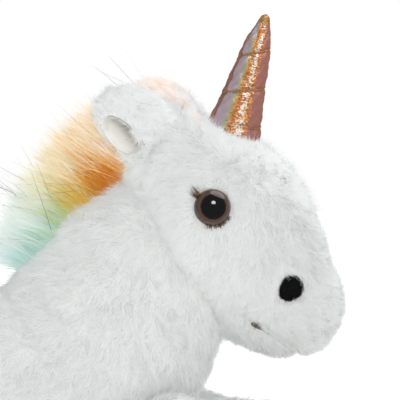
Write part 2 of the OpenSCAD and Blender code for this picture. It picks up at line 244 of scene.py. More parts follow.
def applied(obj, *modifiers):
    """Adds modifiers as (kind, settings) and applies them."""
    for kind, settings in modifiers:
        modifier = obj.modifiers.new(kind, kind)
        for key, value in settings.items():
            setattr(modifier, key, value)
    mesh = bpy.data.meshes.new_from_object(obj.evaluated_get(bpy.context.evaluated_depsgraph_get()))
    obj.modifiers.clear()
    old = obj.data
    obj.data = mesh
    mesh.name = old.name
    bpy.data.meshes.remove(old)
    mesh.polygons.foreach_set("use_smooth", np.ones(len(mesh.polygons), bool))
    return obj


def points_of(obj):
    co = np.empty(len(obj.data.vertices) * 3, np.float32)
    obj.data.vertices.foreach_get("co", co)
    return co.reshape(-1, 3).astype(float)


def normals_of(obj):
    n = np.empty(len(obj.data.vertices) * 3, np.float32)
    obj.data.vertex_normals.foreach_get("vector", n)
    return n.reshape(-1, 3).astype(float)


def set_points(obj, co):
    obj.data.vertices.foreach_set("co", np.asarray(co, np.float32).ravel())
    obj.data.update()


def unit(v):
    return v / np.maximum(np.linalg.norm(v, axis=-1, keepdims=True), 1e-9)


def step(v, low, high):
    t = np.clip((v - low) / (high - low), 0, 1)
    return t * t * (3 - 2 * t)


class Ripple:
    """Smooth random field made of plane waves, for tufts, folds and the lie of the pile."""

    def __init__(self, size_mm, waves=14, seed=1):
        draw = np.random.default_rng(seed)
        direction = unit(draw.normal(size=(waves, 3)))
        self.k = direction * (2 * math.pi / (size_mm * MM * draw.uniform(0.7, 1.5, (waves, 1))))
        self.phase = draw.uniform(0, 2 * math.pi, waves)

    def __call__(self, p):
        return np.sin(p @ self.k.T + self.phase).sum(1) / math.sqrt(len(self.phase) / 2)


def vector_field(size_mm, seed):
    fields = [Ripple(size_mm, 10, seed + i) for i in range(3)]
    return lambda p: np.stack([f(p) for f in fields], -1)


# ---- Pile ------------------------------------------------------------------------
def scatter(obj, per_cm2, keep=None):
    """Random points on a surface with their smooth normals, about per_cm2 of them."""
    mesh = obj.data
    mesh.calc_loop_triangles()
    tri = np.empty(len(mesh.loop_triangles) * 3, np.int32)
    mesh.loop_triangles.foreach_get("vertices", tri)
    tri = tri.reshape(-1, 3)
    co, no = points_of(obj), normals_of(obj)
    a, b, c = co[tri[:, 0]], co[tri[:, 1]], co[tri[:, 2]]
    area = np.linalg.norm(np.cross(b - a, c - a), axis=1) / 2
    if keep is not None:
        area = area * np.clip(keep((a + b + c) / 3), 0, 1)
    count = int(area.sum() * 1e4 * per_cm2 * (1))
    pick = rng.choice(len(tri), count, p=area / area.sum())
    r = np.sqrt(rng.random(count))[:, None]
    s = rng.random(count)[:, None]
    weights = (1 - r, r * (1 - s), r * s)
    roots = sum(w * co[tri[pick, i]] for i, w in enumerate(weights))
    normals = unit(sum(w * no[tri[pick, i]] for i, w in enumerate(weights)))
    return roots, normals


def strands(name, paths, width, slots, materials, normals):
    """One mesh of tapered blades. paths is strands x points x 3, slots the material of each
    strand, or of each of its segments, and normals the shading normal of each strand."""
    n, points = paths.shape[:2]
    width = np.broadcast_to(width, n)[:, None] * 1
    direction = unit(paths[:, -1] - paths[:, 0])
    across = unit(np.cross(direction, normals + 0.3 * rng.normal(size=(n, 3))))
    faces_out = (np.cross(across, direction) * normals).sum(1)
    across = across * np.where(faces_out < 0, -1, 1)[:, None]
    body = paths[:, :-1]
    share = np.linspace(1, 0.55, points - 1)
    offset = across[:, None] * (width * share)[:, :, None] / 2
    sides = np.stack([body - offset, body + offset], 2).reshape(n, -1, 3)
    verts = np.concatenate([sides, paths[:, -1:]], 1)
    verts[..., 2] = np.maximum(verts[..., 2], 0.3 * MM)
    stride = verts.shape[1]
    base = (np.arange(n) * stride)[:, None]
    seg = 2 * np.arange(points - 2)
    quads = (base[:, :, None] + np.stack([seg, seg + 1, seg + 3, seg + 2], -1)[None]).reshape(-1, 4)
    tips = base + np.array([[stride - 3, stride - 2, stride - 1]])
    obj = mesh_object(name, verts.reshape(-1, 3), [quads, tips] if len(quads) else tips, materials)
    slots = np.asarray(slots)
    if slots.ndim == 1:
        slots = np.repeat(slots[:, None], points - 1, 1)
    order = np.concatenate([slots[:, :-1].ravel(), slots[:, -1]])
    obj.data.polygons.foreach_set("material_index", order.astype(np.int32))
    obj.data.normals_split_custom_set_from_vertices(np.repeat(normals, stride, 0).tolist())
    return obj


def to_crest(roots, normals, amount):
    """Pile on upward faces leans to the middle of the back, so its blades show their faces from the side."""
    upward = step(normals[:, 2], 0.05, 0.6) * step(np.abs(roots[:, 1]) / MM, 0, 12)
    return np.stack([0 * upward, -np.sign(roots[:, 1]) * upward * amount, 0 * upward], -1)


def lay_fur(name, roots, normals, flow, length, rise=0.45, width=0.22, curl=0.25, tuft=None, materials=None,
            slots=None, spread=0.18):
    """Short pile: each strand leaves the cloth and leans over along flow. Lengths in millimetres."""
    n = len(roots)
    if tuft is not None:
        flow = flow + tuft(roots)
    flow = flow + spread * rng.normal(size=(n, 3))
    flow = unit(flow - (flow * normals).sum(1)[:, None] * normals)
    guard = (rng.random(n) < 0.1)[:, None]          # a few longer hairs stand out of the pile
    size = (np.broadcast_to(length, n) * rng.uniform(0.7, 1.15, n))[:, None] * np.where(guard, 1.45, 1) * MM
    rise = np.broadcast_to(rise, n)[:, None] * rng.uniform(0.8, 1.25, (n, 1)) + 0.45 * guard
    first = unit(flow + normals * (rise + curl))
    second = unit(flow + normals * np.maximum(rise - curl, 0.05))
    start = roots - normals * 0.3 * MM
    middle = start + first * size * 0.5
    tip = middle + second * size * 0.5
    paths = np.stack([start, middle, tip], 1)
    shade = normals + 0.14 * unit(rng.normal(size=(n, 3)))
    if tuft is not None:
        shade = shade + 0.17 * tuft(roots)          # so that each tuft catches the light in its own way
    shade = unit(shade)
    if slots is None:
        slots = rng.integers(0, len(white_pile), n)
    return strands(name, paths, width * MM * rng.uniform(0.7, 1.3, n), slots, materials or white_pile, shade)


# ---- Head --------------------------------------------------------------------------
HEAD_X, HEAD_Z, HEAD_PITCH = 142, 131, 43.6
PITCH = math.radians(HEAD_PITCH)
HEAD_WIDTH, MUZZLE_WIDTH = 84, 60


def head_at(u, y, v):
    """Row frame, in millimetres, from the head's own: u down the face, v out of the forehead."""
    return [HEAD_X + u * math.cos(PITCH) + v * math.sin(PITCH), y,
            HEAD_Z - u * math.sin(PITCH) + v * math.cos(PITCH)]


def in_head(p):
    """The head's own coordinates, in millimetres, of points in metres."""
    x, z = p[:, 0] / MM - HEAD_X, p[:, 2] / MM - HEAD_Z
    return np.stack([x * math.cos(PITCH) - z * math.sin(PITCH), p[:, 1] / MM,
                     x * math.sin(PITCH) + z * math.cos(PITCH)], -1)


def head_row(u, v, half_h, half_w):
    return head_at(u, 0, v) + [HEAD_PITCH, half_h, half_w]


HEAD_ROWS = [
    head_row(-73, 19, 36, 0.40 * HEAD_WIDTH),
    head_row(-43.7, 2.2, 35.7, 0.44 * HEAD_WIDTH),
    head_row(-14.4, -3, 44.6, 0.5 * HEAD_WIDTH),
    head_row(14.9, -1.9, 40.8, 0.44 * HEAD_WIDTH),
    head_row(44.2, -6.5, 36.8, 0.52 * MUZZLE_WIDTH),
    head_row(73.5, -6.5, 38, 0.5 * MUZZLE_WIDTH),
]
EYE_AT = np.array(head_at(-13, 0, 2))
NOSTRIL_AT = np.array(head_at(41.7, 0, -0.5))
HORN_ROOT = np.array(head_at(-30.5, 0, 35))
HORN_LEAN = math.radians(15.8)
EYE_D = 18
MOUTH_U = 42                          # the mouth bends round the muzzle from here


def bell(distance, width):
    return np.exp(-(distance / width) ** 2)


def eye_distance(h):
    centre = in_head(EYE_AT[None] * MM)[0]
    return np.hypot(h[:, 0] - centre[0], h[:, 2] - centre[2])


def line_on(verts, faces, angles):
    """Points of the mouth's line on the muzzle's surface, in metres."""
    tree = BVHTree.FromPolygons(verts.tolist(), np.asarray(faces).tolist())
    found = []
    for v in np.radians(angles):
        depth = -25.5 + 3.5 * math.cos(v)
        start = Vector(head_at(MOUTH_U, 0, depth)) * MM
        far = Vector(head_at(MOUTH_U + 60 * math.cos(v), 60 * math.sin(v), depth)) * MM
        found.append(tree.ray_cast(far, (start - far).normalized())[0])
    return np.array(found)


def distance_to(points, line):
    """Distance in millimetres from the nearest point of a line, and that point's place on it."""
    tree = KDTree(len(line))
    for i, q in enumerate(line):
        tree.insert(q, i)
    tree.balance()
    found = [tree.find(q)[1:] for q in points]
    return np.array([f[1] for f in found]) / MM, np.array([f[0] for f in found])


MOUTH_ANGLES = np.linspace(-108, 108, 160)
verts, faces = loft(HEAD_ROWS, 150, 160)
mouth_line = line_on(verts, faces[0], MOUTH_ANGLES)
head_skin = mesh_object("head_skin", verts, faces, [plush_base])
co, no = points_of(head_skin), normals_of(head_skin)
h = in_head(co)
soft = Ripple(24, seed=3)(co) * 0.35 + Ripple(9, seed=4)(co) * 0.12
recess = 1.6 * bell(eye_distance(h), 9.5) * (np.abs(h[:, 1]) > 20)
from_mouth, _ = distance_to(co, mouth_line)
recess += 1.4 * bell(from_mouth, 2.2) + 1.3 * bell(from_mouth, 7)
set_points(head_skin, co + no * ((soft - recess) * MM)[:, None])


def head_fur_here(p):
    h = in_head(p)
    below = np.clip((EYE_AT[2] - p[:, 2] / MM) / 9, 0, 1)
    outside_eye = (eye_distance(h) > EYE_D / 2 + 0.5 - 0.8 * below) | (np.abs(h[:, 1]) < 20)
    from_horn = np.linalg.norm(p / MM - HORN_ROOT, axis=1)
    from_nostril = (p / MM - NOSTRIL_AT)[:, [0, 2]]
    upstream = from_nostril @ [-math.cos(PITCH), math.sin(PITCH)] > 0
    nostril = np.linalg.norm(from_nostril, axis=1) - 1.4 * upstream
    clear = outside_eye & (from_horn > 13.6) & ((nostril > 6.4) | (np.abs(p[:, 1]) < 0.015))
    return clear.astype(float)


roots, normals = scatter(head_skin, PILE_PER_CM2["head"], head_fur_here)
from_mouth, place = distance_to(roots, mouth_line)
bare = (from_mouth < 1.0) & (np.abs(np.abs(MOUTH_ANGLES[place]) - 90) < 8)
roots, normals, from_mouth, place = roots[~bare], normals[~bare], from_mouth[~bare], place[~bare]
h = in_head(roots)
down_face = np.array([math.cos(PITCH), 0, -math.sin(PITCH)])
muzzle = np.clip((h[:, 0] - 10) / 45, 0, 1)[:, None]
back_and_down = unit(np.array([-0.55, 0, -0.83]))
flow = back_and_down * (1 - muzzle) + (0.45 * down_face + 0.5 * normals) * muzzle
from_eye = eye_distance(h)[:, None]
eye_out = unit((roots - EYE_AT * MM) * [1, 0, 1])
flow = flow + eye_out * 1.6 * bell(from_eye, 14) * (np.abs(h[:, 1:2]) > 20)
ear_edge = np.array([103, 27, 187])
by_ear = bell(np.linalg.norm(np.abs(roots / MM) - ear_edge, axis=1), 13)
under_ear = bell(np.linalg.norm(np.abs(roots / MM) - [93, 26, 163], axis=1), 9)
length = PILE_LENGTH["head"] - 0.5 * muzzle[:, 0] - 2.4 * bell(from_eye[:, 0], 12) + 3.5 * by_ear + 4.5 * under_ear
length = length - 2.4 * bell(from_mouth, 3.5)
rise = 0.7 + 0.2 * muzzle[:, 0] - 0.3 * by_ear
flow = flow + to_crest(roots, normals, 1.1)
flow = flow + by_ear[:, None] * [-0.6, 0, 2.2] + under_ear[:, None] * [-1.6, 0, -0.6]
corner = (np.abs(np.abs(MOUTH_ANGLES[place]) - 91) < 7) & (from_mouth < 2.6)
# painted shade: tan pile along the mouth's fold, where shade falls
mouth_fold_shade = (from_mouth < 1.7) & (np.abs(MOUTH_ANGLES[place]) > 50) & (rng.random(len(roots)) < 0.85)
shades = rng.integers(0, 4, len(roots))
shades = np.where(mouth_fold_shade, rng.integers(4, 6, len(roots)), shades)
shades = np.where(corner, rng.integers(6, 8, len(roots)), shades)
# two tans of painted shade for the mouth's fold, and two browns for its corner
face_pile = white_pile + pile_materials("mouth_shade_and_corner_pile", [
    (196, 178, 156), (170, 150, 128), (92, 72, 58), (66, 50, 40)])
quarter = (roots[:, 1] > 0) * 2 + (h[:, 0] > 0)
tuft, clump = vector_field(7, 20), vector_field(17, 25)
names = ["head_fur_right_back", "head_fur_right_front", "head_fur_left_back", "head_fur_left_front"]
head_fur = []
for i, name in enumerate(names):
    m = quarter == i
    head_fur.append(lay_fur(name, roots[m], normals[m], flow[m], length[m], rise[m], width=0.2,
                            tuft=lambda p: 0.3 * tuft(p) + 0.1 * clump(p), materials=face_pile,
                            slots=shades[m], spread=0.26))

for piece in [head_skin] + head_fur:
    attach(piece, "head")
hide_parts("head_right_cover", "head_left_cover", "forehead_gusset", "chin_gusset", "head_stuffing")

# ---- Neck and torso -------------------------------------------------------------------
NECK_X, NECK_Z, NECK_TILT = 93.5, 98, 31
TILT = math.radians(NECK_TILT)
NECK_WIDTH, TORSO_WIDTH, BACK = 86, 104, 93
TORSO_FRONT, TORSO_LENGTH = 122, 272


def neck_row(s, forward, half_h, half_w):
    return [NECK_X + s * math.sin(TILT) + forward * math.cos(TILT), 0,
            NECK_Z + s * math.cos(TILT) - forward * math.sin(TILT), NECK_TILT - 90, half_h, half_w * NECK_WIDTH]


def torso_row(t, top, width):
    return [TORSO_FRONT - TORSO_LENGTH * (1 - t), 0, (top - 4) / 2, 0, (top + 4) / 2, width * TORSO_WIDTH / 2]


NECK_ROWS = [
    neck_row(-80, 0, 62, 0.64), neck_row(-51.6, -5, 65, 0.64), neck_row(-23.2, 0, 54, 0.55),
    neck_row(5.2, 0, 48.5, 0.5), neck_row(33.6, -3, 46, 0.5), neck_row(62, -8, 40, 0.42),
]
TORSO_ROWS = [
    torso_row(0, BACK + 3, 1), torso_row(0.2, BACK + 13, 1.12), torso_row(0.4, BACK + 1, 1),
    torso_row(0.6, BACK + 6, 1.04), torso_row(0.8, BACK + 9, 1.06), torso_row(1, BACK - 8, 0.9),
]
FOLDS = [  # soft folds of the cloth: ends, depth and half width
    (((48, 0, 100), (92, 0, 54)), 1.5, 5), (((70, 0, 128), (84, 0, 114)), 1.1, 4),
    (((20, 0, 84), (44, 0, 60)), 1.0, 5), (((98, 0, 96), (106, 0, 60)), 0.9, 5)]
verts, faces = loft(NECK_ROWS, 90, 110, floor=0)
other, other_faces = loft(TORSO_ROWS, 110, 110, 2.6, floor=0)
joined = [np.asarray(f) for f in faces] + [np.asarray(f) + len(verts) for f in other_faces]
body_skin = mesh_object("body_skin", np.concatenate([verts, other]),
                        [joined[0], joined[2], joined[1], joined[3]], [plush_base])
applied(body_skin,
        ("REMESH", {"mode": "VOXEL", "voxel_size": 0.0022}),
        ("SMOOTH", {"factor": 0.6, "iterations": 10}))
co, no = points_of(body_skin), normals_of(body_skin)
soft = Ripple(34, seed=5)(co) * 0.7 + Ripple(13, seed=6)(co) * 0.25
for ends, depth, half in FOLDS:
    line = np.linspace(*[np.array(e, float) * MM for e in ends], 24)
    line = np.concatenate([line, line])
    flat = np.stack([co[:, 0], 0 * co[:, 0], co[:, 2]], -1)
    gap, _ = distance_to(flat, line)
    soft = soft - depth * bell(gap, half) + 0.6 * depth * bell(gap - 1.9 * half, half)
co = co + no * (soft * MM)[:, None]
co[:, 2] = np.maximum(co[:, 2], 0.0004)
set_points(body_skin, co)


def body_fur_here(p):
    q = p / MM
    nod = np.linalg.norm(q - [157, 0, 140], axis=1)
    under_head = nod < 60
    on_floor = q[:, 2] < 2.5
    return (~under_head & ~on_floor).astype(float)


roots, normals = scatter(body_skin, PILE_PER_CM2["body"],
                         lambda p: body_fur_here(p) * np.where(p[:, 0] > 0.03, 1.0, 0.4))
flow = np.broadcast_to(unit(np.array([-0.62, 0, -0.78])), roots.shape).copy()
chest = np.clip((roots[:, 0] / MM - 60) / 60, 0, 1)[:, None]
flow = flow * (1 - chest) + unit(np.array([-0.15, 0, -1.0])) * chest
flow = flow + to_crest(roots, normals, 0.9)
tuft_body = vector_field(9, 40)
part = np.digitize(roots[:, 0] / MM, [-70, 20, 75])
body_fur = []
for i, name in enumerate(["body_fur_rump", "body_fur_back", "body_fur_shoulder", "body_fur_neck"]):
    m = part == i
    body_fur.append(lay_fur(name, roots[m], normals[m], flow[m], PILE_LENGTH["body"], 0.55,
                            width=0.21 if i > 1 else 0.3, tuft=lambda p: 0.4 * tuft_body(p)))


def bend_at_neck(piece):
    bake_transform(piece)


for piece in [body_skin] + body_fur:
    bend_at_neck(piece)
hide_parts("torso_right_cover", "torso_left_cover", "belly_cover", "torso_stuffing",
            "neck_right_cover", "neck_left_cover", "neck_stuffing")


# ---- Legs, hooves and soles ------------------------------------------------------------
FORE_D, HIND_D, FORE_Y, HOOF = 40, 37, 41, 24
FORE_ROWS = [
    [91, FORE_Y, 24, 0, 28, 24], [112, FORE_Y, 24, 0, 29, 25],
    [133, FORE_Y, 21.5, 0, 0.59 * FORE_D, 0.53 * FORE_D],
    [154, FORE_Y - 1, 19.5, 0, 0.53 * FORE_D, 0.48 * FORE_D],
    [175, FORE_Y - 2, 19, 0, 0.55 * FORE_D, 0.51 * FORE_D],
    [196, FORE_Y - 3, 19, 0, 0.56 * FORE_D, 0.52 * FORE_D],
]
HIND_ROWS = [
    [-131, 44, 32, 0, 36, 33], [-102, 46, 32, 0, 38, 33.5], [-73, 51, 29, 0, 31, 27],
    [-44, 61, 20.5, 0, 0.60 * HIND_D, 0.52 * HIND_D],
    [-15, 68, 18, 0, 0.58 * HIND_D, 0.53 * HIND_D], [14, 71, 18, 0, 0.58 * HIND_D, 0.53 * HIND_D],
]


def mirrored(verts, faces, side):
    """The form on the asked side: the left one as it is, the right one turned over."""
    if side == LEFT:
        return verts, faces
    return verts * [1, -1, 1], [f[:, ::-1] for f in faces]


def grown(rows, by):
    return [r[:4] + [r[4] + by, r[5] + by] for r in rows]


def beyond(verts, faces, x):
    """The closed end of a loft past x, with its open side drawn in to the middle."""
    verts = verts.copy()
    inner = verts[:, 0] < x
    centre = verts[np.abs(verts[:, 0] - x) < 2 * MM].mean(0)
    verts[inner, 1:] = centre[1:] + (verts[inner, 1:] - centre[1:]) * 0.02
    verts[inner, 0] = x
    return verts, faces


def lame_material(name, low, high, glitter):
    m = Nodes(name, linear(high), 0.38, 0.5, Metallic=0.55)
    speck = m.add("TexVoronoi", {"Vector": m.place(), "Scale": 1500}).outputs["Color"]
    amount = m.maths("POWER", m.add("SeparateColor", {"Color": speck}).outputs[0], 5)
    base = m.ramp(m.noise(140, 3), [(0.3, low), (0.7, high)])
    m.set(m.shader, {"Base Color": m.mix(amount, base, linear(glitter))})
    m.bump(m.noise(1800, 2), 0.5, 0.0003)
    return m.mat


hoof_cloth = lame_material("hoof_lame", (196, 124, 112), (216, 150, 134), (255, 236, 206))
tuft_leg = vector_field(9, 60)
for end, rows in (("front", FORE_ROWS), ("rear", HIND_ROWS)):
    for side in (RIGHT, LEFT):
        leg = f"{end}_{SIDE_NAME[side]}"
        body = leg + "_leg"
        hoof_x = (rows[-1][0] - HOOF) * MM
        verts, faces = mirrored(*loft(rows, 90, 84, 2.8, floor=0.4), side)
        skin = mesh_object(leg + "_leg_skin", verts, faces, [plush_base])
        co, no = points_of(skin), normals_of(skin)
        in_hoof = step(co[:, 0] / MM, rows[-1][0] - HOOF - 3, rows[-1][0] - HOOF + 1)
        soft = Ripple(22, seed=8 + side)(co) * 0.35 * (1 - in_hoof) - 0.4 * in_hoof
        co = co + no * (soft * MM)[:, None]
        co[:, 2] = np.maximum(co[:, 2], 0.4 * MM)
        set_points(skin, co)
        roots, normals = scatter(skin, PILE_PER_CM2["leg"],
                                 lambda p: (p[:, 2] > 2.5 * MM) & (p[:, 0] < hoof_x))
        flow = np.broadcast_to([0.75, 0, -0.35], roots.shape)
        fur = lay_fur(leg + "_leg_fur", roots, normals, flow, PILE_LENGTH["leg"], 0.4, width=0.3,
                      tuft=lambda p: 0.5 * tuft_leg(p))
        verts, faces = loft(grown(rows, 0.5), 90, 84, 2.8, floor=0.2)
        verts, faces = mirrored(*beyond(verts, faces, hoof_x), side)
        hoof = mesh_object(leg + "_hoof_cloth", verts, faces, [hoof_cloth])
        verts, faces = loft(grown(rows, 0.9), 90, 84, 2.8, floor=0.2)
        verts[:, 0] += 0.4 * MM
        verts, faces = mirrored(*beyond(verts, faces, (rows[-1][0] - 3.4) * MM), side)
        sole = mesh_object(leg + "_sole_disc", verts, faces, [satin_base])
        for piece, slot in ((skin, "white_plush"), (fur, "white_plush"),
                            (hoof, "lame_cloth"), (sole, "lame_cloth")):
            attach(piece, body)
        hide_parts(leg + "_leg_cover", leg + "_leg_stuffing")
        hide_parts(leg + "_hoof")
        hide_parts(leg + "_sole")

# ---- Ears ------------------------------------------------------------------------------
EAR_ROOT, EAR_RISE, EAR_SPLAY = (101.5, 23, 169), 50, 14
EAR_LENGTH, EAR_WIDTH, EAR_THICK, EAR_SHIFT = 36, 31, 8, 1.8
EAR_FRAME = np.array(Matrix.Rotation(math.radians(EAR_RISE - 180), 3, "Y")
                     @ Matrix.Rotation(math.radians(180 + EAR_SPLAY), 3, "X"))
FOLD = (10.4, -3.2, 15.0, 7.3)        # centre and half sizes of the fold's opening, along and across


def ear_out(local, side):
    """Row frame, in metres, from the ear's own: x along it, y inward, z across to the front."""
    p = (np.asarray(local) @ EAR_FRAME.T + EAR_ROOT) * MM
    return p * [1, side, 1]


def ear_direction(local, side):
    return ear_out(local, side) - ear_out(np.zeros((1, 3)), side)


def opening(x, z):
    """1 in the middle of the fold's opening, 0 on its rim and negative outside."""
    return 1 - ((x - FOLD[0]) / FOLD[2]) ** 2 - ((z - FOLD[1]) / FOLD[3]) ** 2


def hollow_depth(x, z):
    """How deep the fold is, deepest under its upper flap."""
    return step(opening(x, z), -0.02, 0.42) * (4.6 + 5.2 * np.clip((z - FOLD[1]) / FOLD[3], -0.6, 1))


def ear_thickness(x, z):
    t = np.clip((x + 2) / EAR_LENGTH, 0, 1)
    size = np.sqrt(np.clip(1 - (2 * t - 1) ** 2, 1e-6, 1))
    across = np.abs((z - EAR_SHIFT - 3 * np.sin(math.pi * t)) / (EAR_WIDTH / 2 * size))
    return EAR_THICK * size * np.clip(1 - across**2.2, 0, 1) ** (1 / 2.2)


def ear_face(x, z):
    """The outer face's local y with its fold."""
    thick = ear_thickness(x, z)
    return np.minimum(-thick + hollow_depth(x, z), thick - 1.8)


ear_local_rows = [[-2 + EAR_LENGTH * t, 0, EAR_SHIFT + 3 * math.sin(math.pi * t), 0, EAR_WIDTH / 2, EAR_THICK]
                  for t in (0, 0.25, 0.5, 0.75, 1)]


def ear_satin_with_painted_shade(side):
    """Satin with painted shade: darker in the depth of the fold, under its upper flap, where shade falls."""
    m = Nodes(SIDE_NAME[side] + "_ear_satin_painted_shade", colour(214, 212, 204), 0.6, 0.3)
    across = ear_direction([[0, 0, 1]], side)[0]
    height = m.add("VectorMath", {0: m.add("TexCoord").outputs["Object"], 1: tuple(unit(across))},
                   operation="DOT_PRODUCT").outputs["Value"]
    middle = float(np.dot(ear_out([[FOLD[0], -2, FOLD[1]]], side)[0], unit(across)))
    t = m.maths("ADD", m.maths("DIVIDE", m.maths("SUBTRACT", height, middle), 2 * FOLD[3] * MM), 0.5)
    # painted shade: the lining's colour darkens across the fold towards its upper flap, where shade falls
    m.paint(t, [(0.1, (234, 233, 229)), (0.5, (220, 217, 209)),
                                              (0.72, (186, 182, 171)), (0.95, (146, 142, 131))])
    return m.mat


for side in (RIGHT, LEFT):
    verts, faces = loft(ear_local_rows, 110, 120)
    local = verts / MM
    x, y, z = local.T
    outer = y < 0
    rim = bell(opening(x, z), 0.3) * 0.3
    flat = 1 - 0.6 * step(z, 5, 18)
    y = np.where(outer, np.minimum(y * flat + hollow_depth(x, z) - rim, np.maximum(-y - 1.8, y)), y)
    local = np.stack([x, y, z], -1)
    turned = faces if np.linalg.det(EAR_FRAME) * side > 0 else [f[:, ::-1] for f in faces]
    ear = mesh_object(SIDE_NAME[side] + "_ear_skin", ear_out(local, side), turned, [plush_base])
    grid_r, grid_a = np.meshgrid(np.linspace(0.02, 1.0, 24), np.linspace(0, 2 * math.pi, 61)[:-1],
                                 indexing="ij")
    gx = FOLD[0] + FOLD[2] * grid_r * np.cos(grid_a)
    gz = FOLD[1] + FOLD[3] * grid_r * np.sin(grid_a)
    crease = 0.25 * np.sin(gx * 0.9 + 1.3 * gz) * grid_r
    gy = ear_face(gx, gz) - 0.45 - crease * 0.6
    sheet = np.stack([gx, gy, gz], -1).reshape(-1, 3)
    quads = grid_quads(24, 60)[:, ::-side]
    lining = mesh_object(SIDE_NAME[side] + "_ear_satin_painted_shade", ear_out(sheet, side), quads,
                         [ear_satin_with_painted_shade(side)])
    applied(lining, ("SOLIDIFY", {"thickness": 0.4 * MM, "offset": 0}))
    inverse = np.linalg.inv(EAR_FRAME)

    def ear_local(p):
        return (p * [1, side, 1] / MM - EAR_ROOT) @ inverse.T

    def ear_fur_here(p):
        q = ear_local(p)
        inside = (opening(q[:, 0], q[:, 2]) > 0.16) & (q[:, 1] < ear_thickness(q[:, 0], q[:, 2]) - 4.5)
        return (~inside).astype(float)

    roots, normals = scatter(ear, PILE_PER_CM2["ear"], ear_fur_here)
    q = ear_local(roots)
    outward = ear_direction([[1, 0, 0]], side)
    near = bell(opening(q[:, 0], q[:, 2]), 0.5) * (q[:, 1] < 0)
    root_end = bell(q[:, 0], 8)
    away = np.stack([q[:, 0] - FOLD[0], 0 * q[:, 0], (q[:, 2] - FOLD[1]) * 2.5], -1)
    away = unit(ear_direction(away, side))
    front = step(q[:, 2], 9, 17) * (q[:, 1] < 2)
    forward = unit(ear_direction([[-0.9, 0.3, 1.0]], side))
    flow = (0.8 * unit(outward) * (1 - front)[:, None] + 1.2 * near[:, None] * away
            + 1.6 * front[:, None] * forward + root_end[:, None] * np.array([-0.5, 0, -1.2]))
    length = PILE_LENGTH["ear"] + 3.0 * root_end + 3.2 * front
    fur = lay_fur(SIDE_NAME[side] + "_ear_fur", roots, normals, flow, length, 0.6 - 0.3 * front,
                  width=0.2, tuft=lambda p: 0.45 * tuft(p))
    for piece, slot in ((ear, "white_plush"), (lining, "ear_satin"), (fur, "white_plush")):
        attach(piece, SIDE_NAME[side] + "_ear")
    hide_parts(SIDE_NAME[side] + "_ear_back")
    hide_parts(SIDE_NAME[side] + "_ear_lining")


# ---- Horn --------------------------------------------------------------------------------
def frame_of(origin, axis, forward=(1, 0, 0)):
    """Rotation and origin, in metres, of a local frame whose z is axis."""
    z = unit(np.asarray(axis, float))
    x = unit(np.asarray(forward, float) - np.dot(forward, z) * z)
    return np.stack([x, np.cross(z, x), z], -1), np.asarray(origin, float) * MM


def local_place(m, rotation, origin):
    """Object coordinates turned into a local frame, in metres."""
    euler = Matrix(rotation.tolist()).to_euler()
    coordinates = m.add("TexCoord").outputs["Object"]
    return m.add("Mapping", {"Vector": coordinates, "Location": tuple(origin), "Rotation": tuple(euler)},
                 vector_type="TEXTURE").outputs["Vector"]


HORN_HEIGHT, HORN_R = 63, 14
HORN_SHAPE = [(-14, 0.0), (-12.1, 7), (-7, 12.1), (0, 14), (4, 13.7), (11.3, 12.2), (22.7, 10.3), (34, 8.7),
              (42, 7.6), (48, 6.5), (53, 4.9), (57, 3.6), (60, 2.7), (62, 1.7), (63, 0.0)]
TURN = 19.6                           # climb of the thread for each turn, in millimetres
horn_rotation, horn_origin = frame_of(HORN_ROOT, (math.sin(HORN_LEAN), 0, math.cos(HORN_LEAN)))


def smooth_curve(xs, ys, x):
    """Monotone cubic through points, so that the outline has no bumps."""
    xs, ys = np.asarray(xs, float), np.asarray(ys, float)
    slope = np.diff(ys) / np.diff(xs)
    m = np.concatenate([slope[:1], (slope[1:] + slope[:-1]) / 2, slope[-1:]])
    flat = slope[1:] * slope[:-1] <= 0
    m[1:-1][flat] = 0
    i = np.clip(np.searchsorted(xs, x) - 1, 0, len(xs) - 2)
    h = xs[i + 1] - xs[i]
    t = (x - xs[i]) / h
    return ((2 * t**3 - 3 * t**2 + 1) * ys[i] + (t**3 - 2 * t**2 + t) * h * m[i]
            + (-2 * t**3 + 3 * t**2) * ys[i + 1] + (t**3 - t**2) * h * m[i + 1])


def horn_radius(h):
    hs, rs = zip(*HORN_SHAPE)
    return np.maximum(smooth_curve(hs, rs, h), 0.02)


def thread_phase(h, angle):
    """Distance in millimetres along the horn from the nearest turn of its thread."""
    climb = h - 3.2 - TURN * (angle + math.pi / 2) / (2 * math.pi)
    return (climb + TURN / 2) % TURN - TURN / 2


